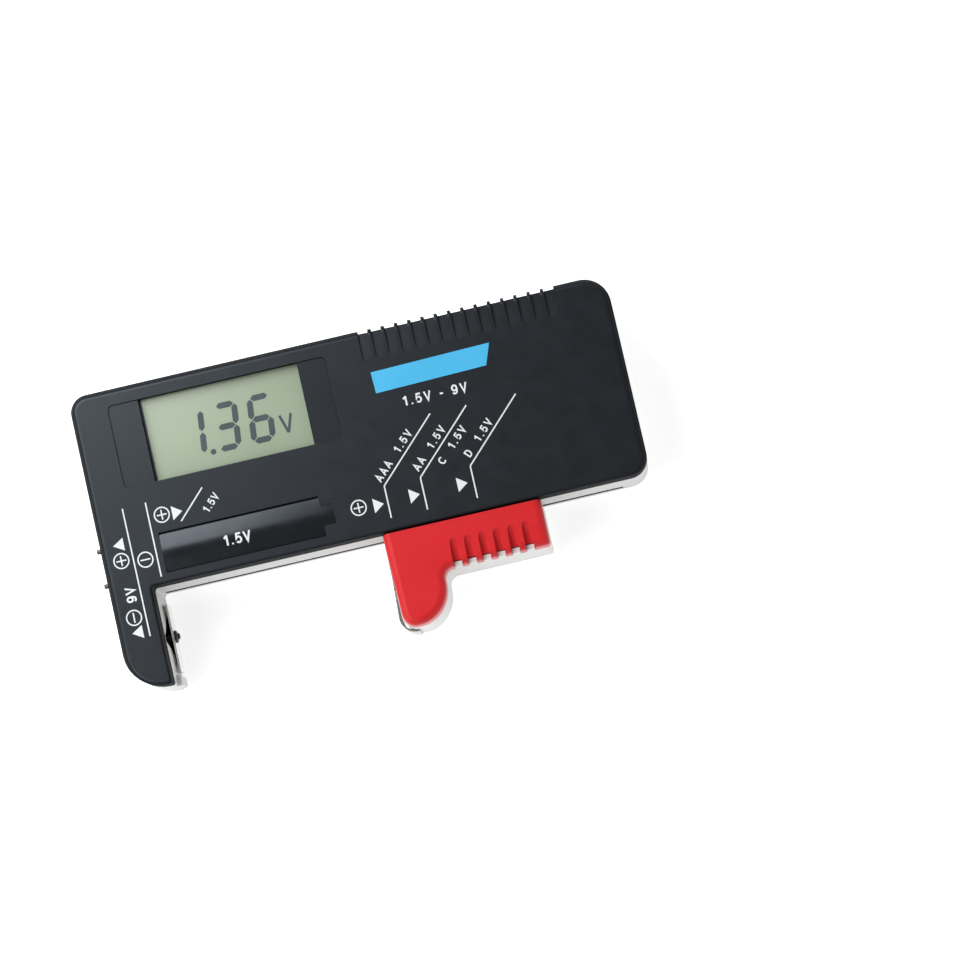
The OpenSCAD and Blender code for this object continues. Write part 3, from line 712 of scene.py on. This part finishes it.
SLIDER_PTS = [(5.2, -23.4), (28.4, -14.6)]
SR = 1.6
bm = bmesh.new()
rings = [sring(0.1, ZP + 0.02, lean=0.35), sring(0, ZP + 0.12, lean=0.35)]
for i in range(9):
    a = math.radians(90 * i / 8)
    rings.append(sring(SR - SR * math.cos(a), SZ - SR + SR * math.sin(a), lean=0.35))
rings_in = [sring(1.6, ZP + 0.02, 1.6, 0.35), sring(1.6, SZ - 1.8, 1.6, 0.35)]
vs = skin(bm, rings)
bm.faces.new(vs[-1])
inn = skin(bm, rings_in)
bm.faces.new(list(reversed(inn[-1])))
k = len(vs[0])
for i in range(k):
    j = (i + 1) % k
    bm.faces.new((inn[0][i], inn[0][j], vs[0][j], vs[0][i]))
red = finish_mesh("slider_red", bm, M_RED, False)
boolean(red, cutter(lambda b: [prism(b, circle_pts(x, y, 2.1), 12, SZ - 1) for x, y in SLIDER_PTS]), "UNION")
boolean(red, cutter(lambda b: [prism(b, circle_pts(x, y, 1.03), 11, 19) for x, y in SLIDER_PTS]))


def finger_flute(b, gx):
    """Groove that deepens towards the handle's lower wall, with a pointed arch at its top."""
    rows = []
    for y, w, dep in ((-14.7, 0.3, 0.03), (-14.85, 0.8, 0.16), (-15.15, 1.2, 0.36), (-15.7, 1.5, 0.62),
                      (-16.7, 1.66, 0.95), (-18.0, 1.74, 1.25), (-19.2, 1.8, 1.5), (-21.6, 1.86, 1.9)):
        f = min(0.3, w * 0.3, dep * 0.6)
        zb = SZ - dep
        h = w / 2
        rows.append([(gx - h, y, SZ + 1), (gx - h, y, zb + f), (gx - h + f * 0.3, y, zb + f * 0.3), (gx - h + f, y, zb),
                     (gx + h - f, y, zb), (gx + h - f * 0.3, y, zb + f * 0.3), (gx + h, y, zb + f), (gx + h, y, SZ + 1)])
    skin(b, rows, True, True)


for i in range(6):
    gx = 14.0 + 2.96 * i
    boolean(red, cutter(lambda b: finger_flute(b, gx)))
    boolean(red, cutter(lambda b: prism(b, [(gx - 0.92, -21.5), (gx + 0.92, -21.5), (gx + 0.86, -19.1), (gx - 0.86, -19.1)], ZP - 1, SZ + 2)))
dress(red, M_RED, 0.14, 3)
keep(red, "slider", "slider_front", slot="red_plastic")

bm = bmesh.new()
rings = []
BR = 0.8
for i in range(7):
    a = math.radians(90 * i / 6)
    rings.append(sring(BR - BR * math.sin(a), 1.2 + BR - BR * math.cos(a)))
rings += [sring(0, ZP - 0.1), sring(0.1, ZP)]
rings += [sring(1.6, ZP, 1.6), sring(1.6, 3.0, 1.6)]
skin(bm, rings, True, True)
back = finish_mesh("slider_white", bm, M_WHITE, False)
boolean(back, cutter(lambda b: [prism(b, circle_pts(x, y, 2.5), 2, 12) for x, y in SLIDER_PTS]), "UNION")
boolean(back, cutter(lambda b: prism(b, box_pts(SX, SX + 30.6, YB - 1.5, YB + 4.5), SPLIT + 0.15, SPLIT + 2.25)), "UNION")
boolean(back, cutter(lambda b: prism(b, box_pts(SX, SX + 30.6, YB + WALL + 0.15, -2.4), 2.9, 8.9)), "UNION")
# teeth that stand up into the handle's notches
boolean(back, cutter(lambda b: [prism(b, box_pts(14.0 + 2.96 * i - 0.8, 14.0 + 2.96 * i + 0.8, -20.3, -19.3), ZP - 1, 22.0)
                                for i in range(6)]), "UNION")
boolean(back, cutter(lambda b: [prism(b, circle_pts(x, y, 1.15), 0, 20) for x, y in SLIDER_PTS]))
boolean(back, cutter(lambda b: [prism(b, circle_pts(x, y, 1.9), 0, 4.6) for x, y in SLIDER_PTS]))
dress(back, M_WHITE, 0.12)
keep(back, "slider", "slider_back", slot="white_plastic")

# ---------------------------------------------------------------- CAD metal gets softened edges
for n, w in (("negative_contact", 0.08), ("slider_contact", 0.08)):
    md = N[n].modifiers.new("edge", "BEVEL")
    md.width = w * MM
    md.segments = 2
    md.limit_method = "ANGLE"
    md.angle_limit = math.radians(50)
for o in N.values():
    for p in o.data.polygons:
        p.use_smooth = True
    o.data.set_sharp_from_angle(angle=math.radians(32))

# ---------------------------------------------------------------- floor, light, camera
bm = bmesh.new()
skin(bm, [[(-900, -900, -6), (900, -900, -6), (900, 900, -6), (-900, 900, -6)],
          [(-900, -900, -0.05), (900, -900, -0.05), (900, 900, -0.05), (-900, 900, -0.05)]], True, True)
m, nt, b = new_mat("pale_floor")
nt.links.new(ramp(nt, noise(nt, 6, 3, 0.5), [(0.3, (0.90, 0.90, 0.90)), (0.7, (0.93, 0.93, 0.93))]), b.inputs["Base Color"])
b.inputs["Roughness"].default_value = 0.85
# a sheet lit from below, which keeps the contact shadow soft
b.inputs["Emission Color"].default_value = (1, 1, 1, 1)
b.inputs["Emission Strength"].default_value = 0.52
finish_mesh("floor", bm, m, False)

world = scene.world or bpy.data.worlds.new("world")
scene.world = world
world.use_nodes = True
wt = world.node_tree
# soft studio surround: dim overhead, bright around the horizon and most of all to the upper left


def wnode(kind, **inputs):
    n = wt.nodes.new(kind)
    for k, v in inputs.items():
        n.inputs[k].default_value = v
    return n


tc = wt.nodes.new("ShaderNodeTexCoord")
xyz = wt.nodes.new("ShaderNodeSeparateXYZ")
wt.links.new(tc.outputs["Generated"], xyz.inputs[0])
low = wnode("ShaderNodeMapRange", **{"From Min": 0.62, "From Max": 0.95, "To Min": 1.0, "To Max": 0.0})
low.interpolation_type = "SMOOTHSTEP"
wt.links.new(xyz.outputs["Z"], low.inputs["Value"])
dot = wt.nodes.new("ShaderNodeVectorMath")
dot.operation = "DOT_PRODUCT"
dot.inputs[1].default_value = (-0.80, 0.60, 0.0)
wt.links.new(tc.outputs["Generated"], dot.inputs[0])
side = wnode("ShaderNodeMapRange", **{"From Min": -0.7, "From Max": 0.6, "To Min": 0.58, "To Max": 0.88})
side.interpolation_type = "SMOOTHSTEP"
wt.links.new(dot.outputs["Value"], side.inputs["Value"])
mix = wnode("ShaderNodeMix", **{"A": 0.17})
wt.links.new(low.outputs["Result"], mix.inputs["Factor"])
wt.links.new(side.outputs["Result"], mix.inputs["B"])
wt.links.new(mix.outputs["Result"], wt.nodes["Background"].inputs["Strength"])
wt.nodes["Background"].inputs["Color"].default_value = (1, 1, 1, 1)


def area(name, loc, size, power, target=(0, 0, 0.01)):
    l = bpy.data.lights.new(name, "AREA")
    l.shape = "RECTANGLE"
    l.size, l.size_y = size
    l.energy = power
    o = bpy.data.objects.new(name, l)
    scene.collection.objects.link(o)
    o.location = loc
    o.rotation_euler = (Vector(target) - Vector(loc)).to_track_quat("-Z", "Y").to_euler()
    return o


area("softbox", (-0.262, 0.26, 0.38), (0.41, 0.38), 2.45, (-0.262, 0.2601, 0))

area("fill", (-0.215, -0.10, 0.38), (0.20, 0.15), 0.36, (-0.215, -0.0999, 0))

cam = bpy.data.cameras.new("camera")
cam.sensor_width = 36
cam.lens = 148.3
cam.clip_end = 10
co = bpy.data.objects.new("camera", cam)
scene.collection.objects.link(co)
pos = Vector((46.08, -98.3, 814)) * MM
tgt = Vector((22.53, -5.47, 24)) * MM
f = (tgt - pos).normalized()
bk = -f
e1 = (Vector((1, 0, 0)) - Vector((1, 0, 0)).dot(f) * f).normalized()
e2 = bk.cross(e1)
t = math.radians(13.03)
rt = math.cos(t) * e1 - math.sin(t) * e2
up = math.sin(t) * e1 + math.cos(t) * e2
co.matrix_world = Matrix(((rt.x, up.x, bk.x, pos.x), (rt.y, up.y, bk.y, pos.y), (rt.z, up.z, bk.z, pos.z), (0, 0, 0, 1)))
scene.camera = co
scene.view_settings.view_transform = "Standard"
